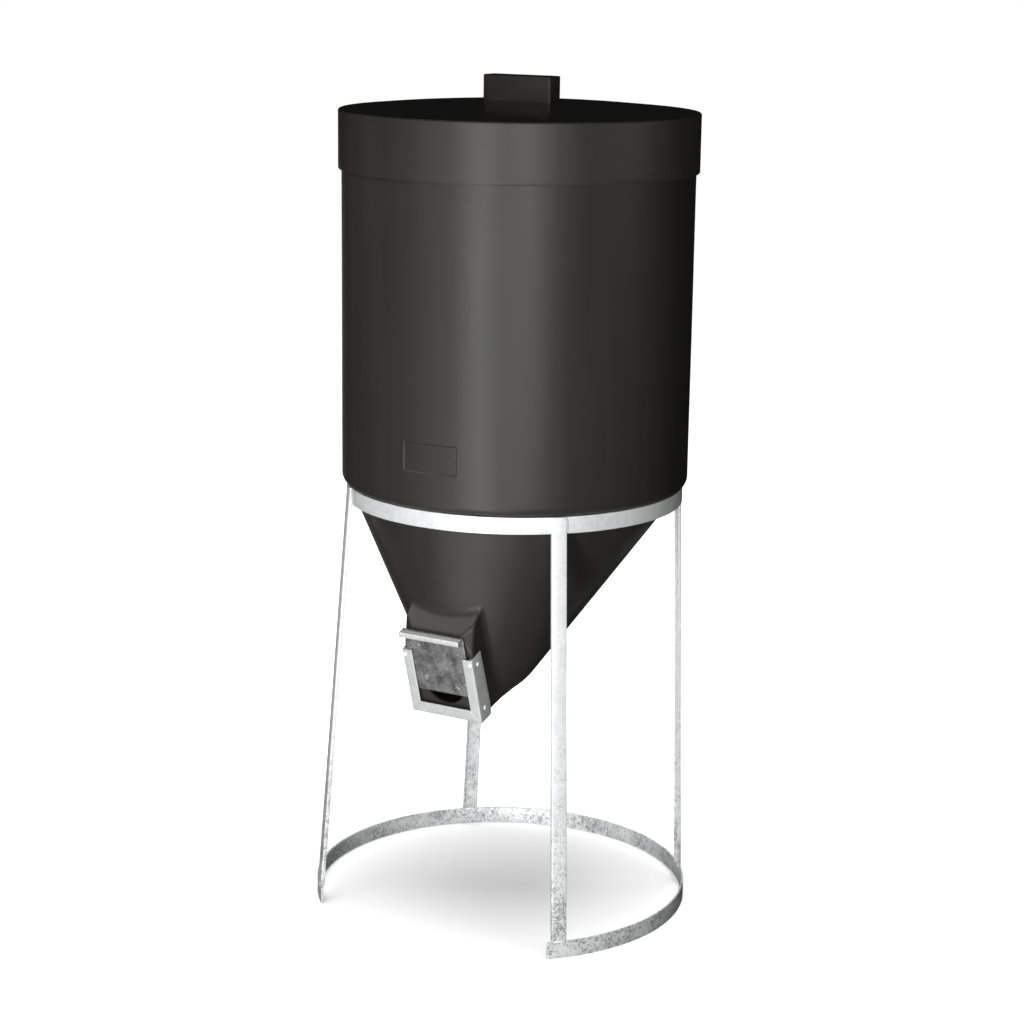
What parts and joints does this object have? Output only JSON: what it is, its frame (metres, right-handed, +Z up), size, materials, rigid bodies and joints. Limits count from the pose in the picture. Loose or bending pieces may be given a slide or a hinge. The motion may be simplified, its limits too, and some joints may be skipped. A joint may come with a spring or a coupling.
{
  "type": "feed hopper",
  "caption": "Free-standing animal feed hopper: a plastic tank with an offset cone, lift-off lid and a slide gate outlet, standing in a galvanised steel stand.",
  "frame": {"origin": "floor level, under the vertical axis of the tank", "axes": "+Z up along the tank's axis, -Y towards the side that the gate faces, +X to the right when looking at the gate"},
  "size_m": [0.7559, 0.7184, 1.66],
  "materials": {
    "tank_plastic": "satin charcoal, moulded",
    "lid_plastic": "satin charcoal, moulded",
    "galvanised_bar": "hot-dip galvanised, mottled",
    "galvanised_sheet": "galvanised sheet with spangle",
    "gate_sheet": "galvanised sheet with coarse spangle",
    "rivet_metal": "bright"
  },
  "bodies": {
    "stand_and_tank": {"hopper_body": "tank_plastic", "top_ring": "galvanised_bar", "bottom_ring": "galvanised_bar", "gate_bottom_rail": "galvanised_sheet", "leg_front_left": "galvanised_bar", "leg_front_right": "galvanised_bar", "leg_back_right": "galvanised_bar", "leg_back_left": "galvanised_bar", "gate_upright_left": "galvanised_sheet", "guide_strip_left": "galvanised_sheet", "front_rivet_left": "rivet_metal", "side_rivet_left_upper": "rivet_metal", "backing_washer_left_upper": "galvanised_sheet", "side_rivet_left_lower": "rivet_metal", "backing_washer_left_lower": "galvanised_sheet", "gate_upright_right": "galvanised_sheet", "guide_strip_right": "galvanised_sheet", "front_rivet_right": "rivet_metal", "side_rivet_right_upper": "rivet_metal", "backing_washer_right_upper": "galvanised_sheet", "side_rivet_right_lower": "rivet_metal", "backing_washer_right_lower": "galvanised_sheet"},
    "lid": {"lid": "lid_plastic"},
    "gate": {"gate_plate": "gate_sheet"}
  },
  "joints": [
    {"name": "lid_lift", "type": "slide", "parent": "stand_and_tank", "child": "lid", "axis": [0, 0, 1], "range_m": [0, 0.25]},
    {"name": "gate_slide", "type": "slide", "parent": "stand_and_tank", "child": "gate", "axis": [0, -0.2924, 0.9563], "range_m": [-0.033, 0.062]}
  ]
}
